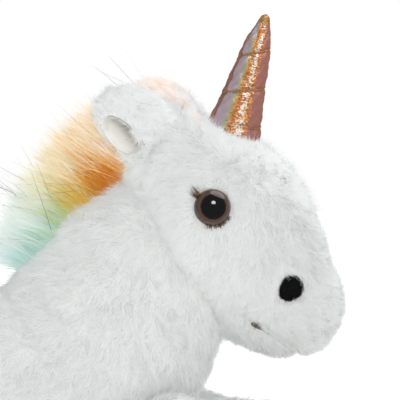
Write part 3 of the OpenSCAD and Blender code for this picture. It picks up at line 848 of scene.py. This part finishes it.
def horn_cloth_material():
    m = Nodes("horn_lame", colour(204, 134, 122), 0.34, 0.5, Metallic=0.5)
    place = local_place(m, horn_rotation, horn_origin)
    x, y, z = (m.add("SeparateXYZ", {"Vector": place}).outputs[i] for i in range(3))
    wander = m.maths("MULTIPLY", m.maths("SUBTRACT", m.noise(220, 2), 0.5), 0.0016)
    side_way = m.maths("ADD", m.maths("ABSOLUTE", y), 0.00001)
    turn = m.maths("DIVIDE", m.maths("ARCTAN2", side_way, m.maths("ADD", x, wander)), math.pi)
    rose, lilac, sage = (191, 131, 119), (206, 186, 198), (198, 196, 178)
    straw, amber = (216, 188, 132), (204, 124, 62)
    # the amber stripe is the lamé's gold, set where the light catches the horn, so it is also painted highlight
    stripes = [(0.0, rose), (0.33, rose), (0.36, (208, 126, 92)), (0.39, amber), (0.55, amber),
               (0.59, straw), (0.635, sage), (0.685, lilac), (0.80, lilac), (0.825, (166, 104, 84)),
               (0.855, rose)]
    base = m.ramp(turn, stripes)
    streaky = m.add("VectorMath", {0: place, 1: (1, 1, 2.1)}, operation="MULTIPLY").outputs[0]
    cells = m.add("TexVoronoi", {"Vector": streaky, "Scale": 1000}).outputs["Color"]
    red, green, blue = (m.add("SeparateColor", {"Color": cells}).outputs[i] for i in range(3))
    # gold-orange flakes over the amber stripe: the lamé's glitter, and painted highlight where the light catches the
    # horn
    glitter_highlight_band = m.ramp(turn, [(0.33, grey(0)), (0.38, grey(0.7)), (0.53, grey(0.75)), (0.57, grey(0.3)),
                         (0.62, grey(0))])
    # painted highlight: near-white spots across the middle of the glitter band
    painted_highlight = m.ramp(turn, [(0.395, grey(0)), (0.43, grey(0.46)), (0.475, grey(0.46)), (0.515, grey(0))])
    flakes = m.maths("LESS_THAN", red, glitter_highlight_band)
    flake_colour = m.ramp(green, [(0.0, (176, 84, 34)), (0.45, (222, 132, 62)),
                                  (0.8, (240, 190, 120)), (1.0, (255, 240, 214))])
    shown = m.mix(flakes, base, flake_colour)
    highlight_spots = m.maths("LESS_THAN", blue, painted_highlight)
    shown = m.mix(highlight_spots, shown, colour(255, 252, 244))
    height = m.maths("DIVIDE", z, HORN_HEIGHT * MM)
    tip = m.ramp(height, [(0.90, grey(0)), (0.93, grey(1))])
    shown = m.mix(tip, shown, m.ramp(green, [(0.2, (168, 116, 66)), (0.9, (214, 170, 112))]))
    m.set(m.shader, {"Base Color": shown})
    weave = m.add("TexVoronoi", {"Vector": place, "Scale": 1700}).outputs["Distance"]
    m.bump(weave, 0.45, 0.0004)
    return m.mat


def horn_to_row(local):
    return local * MM @ horn_rotation.T + horn_origin


rings, sides = 260, 120
h = np.concatenate([-HORN_R * np.cos(np.linspace(0, math.pi / 2, 30))[:-1], np.linspace(0, HORN_HEIGHT, rings - 29)])
angle = 2 * math.pi * np.arange(sides) / sides
H, A = np.meshgrid(h, angle, indexing="ij")
pinch = 0.75 * bell(thread_phase(H, A), 1.5) * step(H, 1, 4) * step(54 - H, 0, 4)
gather = 0.22 * np.sin(A * 7 + H * 0.6) * step(H, 4, 12) + 0.12 * np.sin(A * 13 - H * 0.9)
R = np.maximum(horn_radius(H) - pinch + gather * step(60 - H, 0, 8) * (H > 0), 0.02)
local = np.stack([R * np.cos(A), R * np.sin(A), H], -1).reshape(-1, 3)
horn = mesh_object("horn_cloth", horn_to_row(local), capped_grid(len(h), sides), [horn_cloth_material()])


def on_horn(climb, around, sunk):
    """Points round the horn, sunk this far under its surface."""
    r = horn_radius(climb) - sunk
    return horn_to_row(np.stack([r * np.cos(around), r * np.sin(around), climb], -1))


def tube(name, path, radius, material, sides=8):
    """Closed round tube along points in metres."""
    tangent = unit(np.gradient(path, axis=0))
    side_dir = unit(np.cross(tangent, [0.3, 0.2, 0.93]))
    other_dir = np.cross(tangent, side_dir)
    a = 2 * math.pi * np.arange(sides) / sides
    radius = np.broadcast_to(radius, len(path))[:, None, None]
    ring = path[:, None] + radius * (np.cos(a)[None, :, None] * side_dir[:, None]
                                     + np.sin(a)[None, :, None] * other_dir[:, None])
    return mesh_object(name, ring.reshape(-1, 3), capped_grid(len(path), sides), [material])


def thread_material(name, low, high, metallic):
    m = Nodes(name, linear(high), 0.45, 0.5, Metallic=metallic)
    m.paint(m.noise(1400, 2), [(0.35, low), (0.65, high)])
    m.bump(m.noise(2600, 2), 0.6, 0.0002)
    return m.mat


gold_thread = thread_material("gold_thread", (150, 104, 62), (196, 152, 100), 0.4)
turns = np.linspace(0.1, 2.62, 420)
climb = 3.2 + TURN * turns
around = 2 * math.pi * turns - math.pi / 2
thread = tube("horn_thread", on_horn(climb, around, 0.45), 0.42 * MM, gold_thread)
seam_climb = np.linspace(1, 58, 500)
seams = []
for side in (RIGHT, LEFT):
    around = side * (0.836 * math.pi + 0.035 * np.sin(seam_climb * 3.4) + 0.02 * np.sin(seam_climb * 1.3))
    path = on_horn(seam_climb, around, 0.2)
    seams.append(tube(SIDE_NAME[side] + "_horn_seam", path, 0.3 * MM, gold_thread, 6))
for piece, slot in [(horn, "lame_cloth")] + [(line, "gold_thread") for line in [thread] + seams]:
    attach(piece, "horn")
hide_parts("horn_cover", "horn_stuffing")
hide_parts("horn_threads")

# ---- Eyes, lashes, nostrils and mouth -----------------------------------------------------
EYE_AXIS, EYE_SEAT, EYE_HEIGHT = np.array([0.1045, 0.9921, 0.0694]), 0.47 * HEAD_WIDTH + 0.9, 5.6
NOSTRIL_AXIS, NOSTRIL_SEAT = np.array([0.282, 0.933, -0.223]), 0.40 * MUZZLE_WIDTH
LASH_ANGLE, LID_ANGLE, LID_R = 142, 62, 8.7     # round the eye's axis, in degrees, and in millimetres


def eye_material(side, rotation, origin):
    m = Nodes(SIDE_NAME[side] + "_eye_plastic", colour(60, 45, 38), 0.05, 0.5,
              **{"Coat Weight": 0.4, "Coat Roughness": 0.03, "Coat IOR": 1.5})
    place = local_place(m, rotation, origin)
    flat = m.add("VectorMath", {0: place, 1: (1, 1, 0)}, operation="MULTIPLY").outputs[0]
    radius = m.maths("DIVIDE", m.add("VectorMath", {0: flat}, operation="LENGTH").outputs["Value"], 0.009)
    streaks = m.maths("MULTIPLY", m.maths("SUBTRACT", m.noise(900, 3, place), 0.5), 0.08)
    ring = m.ramp(m.maths("ADD", radius, streaks), [
        (0.0, (10, 10, 11)), (0.64, (12, 12, 13)), (0.685, (54, 40, 34)),
        (0.73, (88, 66, 57)), (0.86, (84, 62, 53)), (0.95, (54, 39, 33)),
        (1.0, (36, 27, 23))])
    m.set(m.shader, {"Base Color": ring})
    return m.mat


def dome(name, rotation, origin, radius, height, depth, material, rings=40, sides=96, uneven=0.0):
    """Closed cap of a sphere with a rounded rim and a flat back."""
    r = radius * np.sin(np.linspace(0.02, math.pi / 2, rings))
    z = height * np.sqrt(np.maximum(1 - (r / radius) ** 2.3, 0))
    r = np.concatenate([r, [radius, radius * 0.96, radius * 0.02]])
    z = np.concatenate([z, [-depth * 0.6, -depth, -depth]])
    a = 2 * math.pi * np.arange(sides) / sides
    swell = 1 + uneven * (np.sin(2 * a + 0.6) + 0.7 * np.sin(3 * a + 2.1) + 0.35 * np.sin(7 * a))
    local = np.stack([r[:, None] * swell * np.cos(a), r[:, None] * swell * np.sin(a),
                      np.repeat(z[:, None], sides, 1)], -1)
    quads, caps = capped_grid(len(r), sides)
    verts = local.reshape(-1, 3) * MM @ rotation.T + origin
    return mesh_object(name, verts, [quads[:, [0, 3, 2, 1]], caps[:, ::-1]], [material])


lash_pile = pile_materials("lash_pile", [(58, 42, 34), (92, 70, 52), (146, 120, 90)])
flock_pile = pile_materials("flock_pile", [(14, 14, 14), (26, 26, 27), (38, 37, 37)], 0.9, 0.25)
flock = cloth_material("flock_backing", (12, 12, 12), (24, 24, 24), 1500, 0.8)
brown_thread = thread_material("brown_thread", (74, 54, 42), (112, 86, 68), 0.0)


def fan(name, rotation, origin, angles, radius, length, count, materials, lift=0.35, width=0.3):
    """Strands that leave a ring round a local z axis, such as the lashes of an eye."""
    a = np.radians(rng.uniform(*angles, count))
    r = radius + rng.normal(0, 0.5, count)
    ring = np.stack([np.cos(a), np.sin(a), 0 * a], -1)
    roots = ring * r[:, None] + np.array([0, 0, 0.5])
    away = unit(ring + rng.normal(0, 0.22, (count, 3)) + [0, 0, lift])
    size = (length * rng.uniform(0.6, 1.1, count))[:, None]
    bent = unit(away + rng.normal(0, 0.15, (count, 3)))
    paths = np.stack([roots, roots + away * size * 0.5, roots + away * size * 0.5 + bent * size * 0.5], 1)
    paths = paths * MM @ rotation.T + origin
    shade = np.broadcast_to(rotation[:, 2], (count, 3))
    return strands(name, paths, width * MM, rng.integers(0, len(materials), count), materials, shade)


for side in (RIGHT, LEFT):
    flip = np.array([1, side, 1])
    label = SIDE_NAME[side]
    rotation, origin = frame_of(np.array([EYE_AT[0], EYE_SEAT, EYE_AT[2]]) * flip, EYE_AXIS * flip)
    eye = dome(label + "_eye_dome", rotation, origin, EYE_D / 2, EYE_HEIGHT, 4,
               eye_material(side, rotation, origin))
    lash_angle, lid_angle = -side * LASH_ANGLE, side * LID_ANGLE
    lash = fan(label + "_lash_tuft", rotation, origin, (lash_angle - 9, lash_angle + 9), LID_R, 7.0, 50,
               lash_pile, lift=0.5, width=0.24)
    # brown strands round the eye's lower rim: the brown marking at its lower corner, and painted shade along the
    # bottom of the rim
    corner = fan(label + "_lid_tuft_and_shade", rotation, origin, (lid_angle - 50, lid_angle + 36), LID_R, 2.2, 150, lash_pile)
    rotation, origin = frame_of(np.array([NOSTRIL_AT[0], NOSTRIL_SEAT, NOSTRIL_AT[2]]) * flip,
                                NOSTRIL_AXIS * flip)
    patch = dome(label + "_nostril_patch", rotation, origin + rotation[:, 2] * 1.5 * MM, 5.9, 2.2, 3,
                 flock, 24, 60, 0.05)
    roots, normals = scatter(patch, PILE_PER_CM2["flock"],
                             lambda p: ((p - origin) @ rotation[:, 2] > 0.1 * MM))
    nap = lay_fur(label + "_nostril_flock", roots, normals, np.zeros_like(roots), PILE_LENGTH["flock"], 1.2, 0.2,
                  materials=flock_pile, slots=rng.integers(0, 3, len(roots)), spread=1.0)
    for piece, slot in ((eye, "eye_plastic"), (lash, "brown_thread"), (corner, "brown_thread"),
                        (patch, "black_flock"), (nap, "black_flock")):
        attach(piece, "head")
    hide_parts(label + "_eye")
    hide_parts(label + "_eyelash")
    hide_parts(label + "_nostril")

inside_mouth = np.array([head_at(50, 0, -24)]) * MM
inward = unit(inside_mouth - mouth_line)
seen = np.abs(MOUTH_ANGLES) < 97
at_corner = bell(np.abs(MOUTH_ANGLES) - 90, 7)[:, None]
mouth = tube("mouth_thread", (mouth_line + inward * (3.3 - 2.6 * at_corner) * MM)[seen],
             (0.5 + 0.7 * at_corner[seen, 0]) * MM, brown_thread)
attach(mouth, "head")
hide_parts("mouth_stitching")

# ---- Mane and tail ---------------------------------------------------------------------------
ZONES = [  # colours at the root, in the middle and at the tip, from the brow down to the withers
    ((244, 212, 198), (247, 226, 216), (249, 243, 239)), ((245, 216, 192), (248, 228, 212), (249, 243, 238)),
    ((238, 190, 112), (245, 206, 140), (250, 239, 216)), ((218, 138, 50), (232, 178, 92), (248, 232, 200)),
    ((224, 168, 78), (236, 204, 130), (248, 237, 208)), ((232, 202, 106), (234, 218, 152), (244, 240, 216)),
    ((208, 222, 164), (222, 230, 190), (240, 244, 228)), ((206, 233, 226), (220, 239, 234), (240, 246, 244)),
    ((208, 235, 235), (221, 240, 241), (240, 246, 246))]
hair_colours = [c for zone in ZONES for c in zone]
# painted glow on the mane's hair too, standing in for light passing through it
hair_pile = paint_glow_into(pile_materials("hair", hair_colours, 0.6, 0.3), HAIR_GLOW)
tinsel_pile = pile_materials("tinsel", [(120, 92, 48), (168, 132, 74), (92, 70, 40)], 0.3, 0.5, Metallic=0.8)


def comb(roots, first, length, points, bend, wave=0.0):
    """Paths that start along first and turn by bend over their length, in metres."""
    n = len(roots)
    t = np.linspace(0, 1, points)
    wobble = rng.normal(0, 1, (n, 3))
    steps = []
    for i in range(points - 1):
        d = unit(first + t[i] * bend + wave * math.sin(3.2 * t[i]) * wobble)
        steps.append(d * (length / (points - 1))[:, None])
    return np.concatenate([roots[:, None], roots[:, None] + np.cumsum(np.stack(steps, 1), 1)], 1)


def clumped(paths, per_clump, pull):
    """Draws each strand's tip towards its clump's."""
    n = len(paths)
    chosen = rng.choice(n, max(n // per_clump, 1), replace=False)
    tree = KDTree(len(chosen))
    for i, c in enumerate(chosen):
        tree.insert(paths[c, 0], i)
    tree.balance()
    own = chosen[[tree.find(p)[1] for p in paths[:, 0]]]
    share = np.linspace(0, 1, paths.shape[1]) ** 1.5 * pull
    return paths + (paths[own] - paths) * share[None, :, None]


def hair_slots(zone, segments):
    """Palette slots for each segment: the zone's colour at the root, paler towards the tip."""
    n = len(zone)
    zone = np.clip(np.round(zone + rng.normal(0, 0.38, n)), 0, len(ZONES) - 1).astype(int)
    t = np.linspace(0, 1, segments)[None] + rng.normal(0, 0.13, (n, 1))
    level = np.digitize(t, (0.42, 0.74))
    return zone[:, None] * 3 + level


def strip(skin, here, per_cm2):
    return scatter(skin, per_cm2, lambda p: here(p / MM).astype(float))


def mane_hair(name, skin, here, per_cm2, zone_at, lean, length, bend, spread=0.3, splay=0.5):
    roots, normals = strip(skin, here, per_cm2)
    n = len(roots)
    side_lean = np.stack([0 * roots[:, 0], roots[:, 1] / MM / 13 * splay, 0 * roots[:, 0]], -1)
    lock = vector_field(8, 80)
    first = lean(roots / MM) + side_lean + 0.16 * lock(roots) + spread * 0.35 * rng.normal(size=(n, 3))
    wisp = rng.random(n) < 0.22                     # the longest strands stand alone outside the rest
    size = length(roots / MM) * np.where(wisp, rng.uniform(0.95, 1.25, n), rng.uniform(0.6, 0.94, n)) * MM
    turn = bend(roots / MM) + 0.1 * lock(roots + 0.01)
    paths = clumped(comb(roots - normals * 0.5 * MM, unit(first), size, 7, turn, 0.06), 26, 0.35)
    outward = np.stack([0 * roots[:, 0], np.sign(roots[:, 1]) * 1.0, 0.35 + 0 * roots[:, 0]], -1)
    shade = unit(outward + 0.3 * normals + 0.2 * rng.normal(size=(n, 3)))
    slots = hair_slots(zone_at(roots / MM), 6)
    return strands(name, paths, 0.26 * MM, slots, hair_pile, shade)


def zone_by_x(q):
    """Where a root lies in the run of colours, from its x in millimetres."""
    return np.interp(q[:, 0], [-10, 20, 56, 62, 68, 75, 81, 86, 93, 99, 104, 125],
                     [8, 7.8, 7, 6.2, 5.3, 4.6, 3.6, 3, 2.6, 1.5, 0.9, 0])


MANE_HALF_WIDTH = 13


def crest(low, high):
    def here(q):
        return (np.abs(q[:, 1]) < MANE_HALF_WIDTH) & (q[:, 0] > low) & (q[:, 0] < high)
    return here


def leaning(x, z):
    """The same lean for each root."""
    return lambda q: np.array([x, 0, z]) + 0 * q


def forelock_here(q):
    horn = np.hypot(q[:, 0] - HORN_ROOT[0], q[:, 1])
    return (q[:, 0] > 100) & (q[:, 0] < 131) & (np.abs(q[:, 1]) < 15) & (q[:, 2] > 173) & (horn > 14.5)


forelock = mane_hair("forelock_hair", head_skin, forelock_here, 300, zone_by_x,
                     leaning(-0.6, 0.8), lambda q: np.interp(q[:, 0], [100, 112, 125], [9, 12, 14]),
                     leaning(-0.7, -0.3), splay=0.25)
poll = mane_hair("poll_hair", head_skin, lambda q: crest(88, 108)(q) & (q[:, 2] > 158), 420, zone_by_x,
                 leaning(-0.85, 0.5), lambda q: np.interp(q[:, 2], [165, 178, 190], [36, 29, 13]),
                 leaning(-0.2, -0.1), splay=0.2)


def upper(q):
    return crest(12, 101)(q) & (q[:, 2] > 96 + 0.35 * q[:, 0]) & (q[:, 2] > 94)


def neck_lean(q):
    x = q[:, 0]
    return np.stack([np.interp(x, [20, 50, 85], [-0.88, -0.78, -0.68]), 0 * x,
                     np.interp(x, [0, 20, 50, 85], [0.25, 0.46, 0.62, 0.74])], -1)


def neck_length(q):
    return np.interp(q[:, 0], [12, 24, 50, 70, 88, 100], [9, 24, 29, 35, 42, 46])


neck_hair = mane_hair("neck_hair", body_skin, lambda q: upper(q) & (q[:, 0] > 44), 600, zone_by_x, neck_lean,
                      neck_length, leaning(-0.25, -0.2), splay=0.4)
withers = mane_hair("withers_hair", body_skin, lambda q: upper(q) & (q[:, 0] <= 44), 500, zone_by_x, neck_lean,
                    neck_length, leaning(-0.3, -0.35))


def tinsel(name, skin, here, count, length, lean):
    roots, normals = strip(skin, here, 60)
    pick = rng.choice(len(roots), min(count, len(roots)), replace=False)
    roots, normals = roots[pick], normals[pick]
    n = len(roots)
    first = unit(lean(roots / MM) + 0.42 * rng.normal(size=(n, 3)))
    paths = comb(roots, first, length * rng.uniform(0.7, 1.15, n) * MM, 6, np.array([0.0, 0, -0.1]), 0.14)
    return strands(name, paths, 0.2 * MM, rng.integers(0, 3, n), tinsel_pile, unit(first + normals))


head_tinsel = tinsel("poll_tinsel", head_skin, lambda q: crest(88, 108)(q) & (q[:, 2] > 158), 20, 33,
                     leaning(-0.65, 0.75))
neck_tinsel = tinsel("neck_tinsel", body_skin, upper, 150, 48,
                     leaning(-0.75, 0.62))
for piece in (forelock, poll, head_tinsel):
    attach(piece, "head")
for piece in (neck_hair, withers, neck_tinsel):
    bend_at_neck(piece)
for piece, node in ((forelock, "forelock"), (poll, "poll_mane"),
                    (neck_hair, "neck_mane"), (withers, "withers_mane")):
    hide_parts(node)

TAIL_WIDTH = 40
TAIL_ROWS = [[-136, 0, 76, 170, 15, 15], [-160, 0, 69, 140, 13, 0.40 * TAIL_WIDTH],
             [-177, 0, 53, 115, 12, 0.48 * TAIL_WIDTH], [-185, 0, 33, 100, 13, 0.5 * TAIL_WIDTH],
             [-187, 0, 6, 90, 14, 0.42 * TAIL_WIDTH]]
tail_core_rows = [r[:4] + [r[4] * 0.62, r[5] * 0.62] for r in TAIL_ROWS]
verts, faces = loft(tail_core_rows, 60, 48, 2.4, floor=1.5)
tail_cloth = Nodes("tail_backing", colour(226, 190, 120), 0.9, 0.2)
height = tail_cloth.add("SeparateXYZ", {"Vector": tail_cloth.place()}).outputs[2]
height = tail_cloth.maths("DIVIDE", height, 0.1)
tail_cloth.paint(height, [(0.1, (214, 234, 226)), (0.35, (226, 222, 176)), (0.6, (226, 170, 92)),
                          (0.8, (214, 138, 60))])
tail_skin = mesh_object("tail_skin", verts, faces, [tail_cloth.mat])
roots, normals = scatter(tail_skin, PILE_PER_CM2["tail"])
t = np.clip((76 - roots[:, 2] / MM) / 70, 0, 1)[:, None]
down_tail = unit(np.array([-0.75, 0, -0.45]) * (1 - t) + np.array([-0.1, 0, -1.0]) * t)
lock = vector_field(9, 90)
first = unit(down_tail + 0.55 * normals + 0.15 * lock(roots) + 0.12 * rng.normal(size=roots.shape))
size = (30 - 12 * t[:, 0]) * rng.uniform(0.75, 1.1, len(roots)) * MM
bend = np.array([0.1, 0, -0.9]) - 0.3 * normals
paths = clumped(comb(roots - normals * 0.5 * MM, first, size, 7, bend, 0.06), 24, 0.5)
zone = np.interp(roots[:, 2] / MM, [0, 25, 50, 80], [7.6, 7.0, 5.4, 3.4])
tail_hair = strands("tail_hair", paths, 0.38 * MM, hair_slots(zone, 6), hair_pile,
                    unit(normals + 0.35 * rng.normal(size=normals.shape)))
for piece in (tail_skin, tail_hair):
    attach(piece, "tail")
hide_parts("tail_pile")
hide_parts("tail_stuffing")

# ---- Carried-over CAD parts ---------------------------------------------------------------------
washer = cloth_material("washer_plastic", (214, 214, 210), (226, 226, 222), 600, 0.1, 0.5)
for side in ("right", "left"):
    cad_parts[side + "_eye_washer"].data.materials.clear()
    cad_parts[side + "_eye_washer"].data.materials.append(washer)


# ---- Floor, lights and camera -------------------------------------------------------
ROOM_LIGHT = 0.32                     # the white room as the object sees it
ROOM_MIRRORED = 0.16                  # and as its glossy parts mirror it

FLOOR_HALF = 30                       # half the floor's side, in metres


def stage():
    m = Nodes("floor_paint", (1, 1, 1, 1), 0.9, 0.1, **{"Emission Color": (1, 1, 1, 1)})
    far = m.add("VectorMath", {0: m.add("TexCoord").outputs["Object"]}, operation="LENGTH").outputs["Value"]
    m.set(m.shader, {"Emission Strength": m.ramp(far, [(0.35, grey(0.3)), (0.75, grey(1))])})
    m.paint(m.noise(3, 2), [(0.3, grey(0.955)), (0.7, grey(0.97))])
    corners = np.array([[-1, -1, 0], [1, -1, 0], [1, 1, 0], [-1, 1, 0]])
    floor = mesh_object("floor", corners * FLOOR_HALF, np.array([[0, 1, 2, 3]]), [m.mat], smooth=False)
    floor.visible_glossy = False       # the eyes would mirror it as a grey half disc
    world = bpy.data.worlds.new("studio")
    world.use_nodes = True
    seen = world.node_tree.nodes["Background"]
    seen.inputs["Color"].default_value = (1, 1, 1, 1)
    ray = world.node_tree.nodes.new("ShaderNodeLightPath")
    level = world.node_tree.nodes.new("ShaderNodeMath")
    level.operation = "MULTIPLY_ADD"
    level.inputs[1].default_value, level.inputs[2].default_value = 1 - ROOM_LIGHT, ROOM_LIGHT
    dim = world.node_tree.nodes.new("ShaderNodeMath")
    dim.operation = "MULTIPLY_ADD"
    dim.inputs[1].default_value = ROOM_MIRRORED - ROOM_LIGHT
    world.node_tree.links.new(ray.outputs["Is Camera Ray"], level.inputs[0])
    world.node_tree.links.new(ray.outputs["Is Glossy Ray"], dim.inputs[0])
    world.node_tree.links.new(level.outputs[0], dim.inputs[2])
    world.node_tree.links.new(dim.outputs[0], seen.inputs["Strength"])
    bpy.context.scene.world = world
    bpy.context.scene.view_settings.view_transform = "Standard"


def softbox(name, place, target, size, power):
    light = bpy.data.lights.new(name, "AREA")
    light.shape, light.size, light.energy = "DISK", size, power
    obj = bpy.data.objects.new(name, light)
    obj.location = place
    obj.rotation_euler = (Vector(target) - Vector(place)).to_track_quat("-Z", "Y").to_euler()
    bpy.context.scene.collection.objects.link(obj)
    return obj


stage()
VIEW_X, VIEW_Z = 0.128, 0.145
DISTANCE, FRAME_WIDTH = 1.3, 0.2
softbox("key", (0.42, -1.30, 0.62), (0.12, 0, 0.13), 0.30, 2.5)
softbox("top", (0.7, -0.1, 1.35), (0.12, 0, 0.1), 1.5, 11.5)
fill = softbox("fill", (-0.9, -0.95, 0.55), (0.05, 0, 0.12), 0.9, 3.5)
fill.visible_glossy = False
camera_data = bpy.data.cameras.new("camera")
camera_data.sensor_width = 36
camera_data.lens = 36 * DISTANCE / FRAME_WIDTH
camera = bpy.data.objects.new("camera", camera_data)
camera.location = (VIEW_X, -DISTANCE, VIEW_Z)
camera.rotation_euler = (math.pi / 2, 0, 0)
camera_data.clip_end = 60
bpy.context.scene.collection.objects.link(camera)
bpy.context.scene.camera = camera
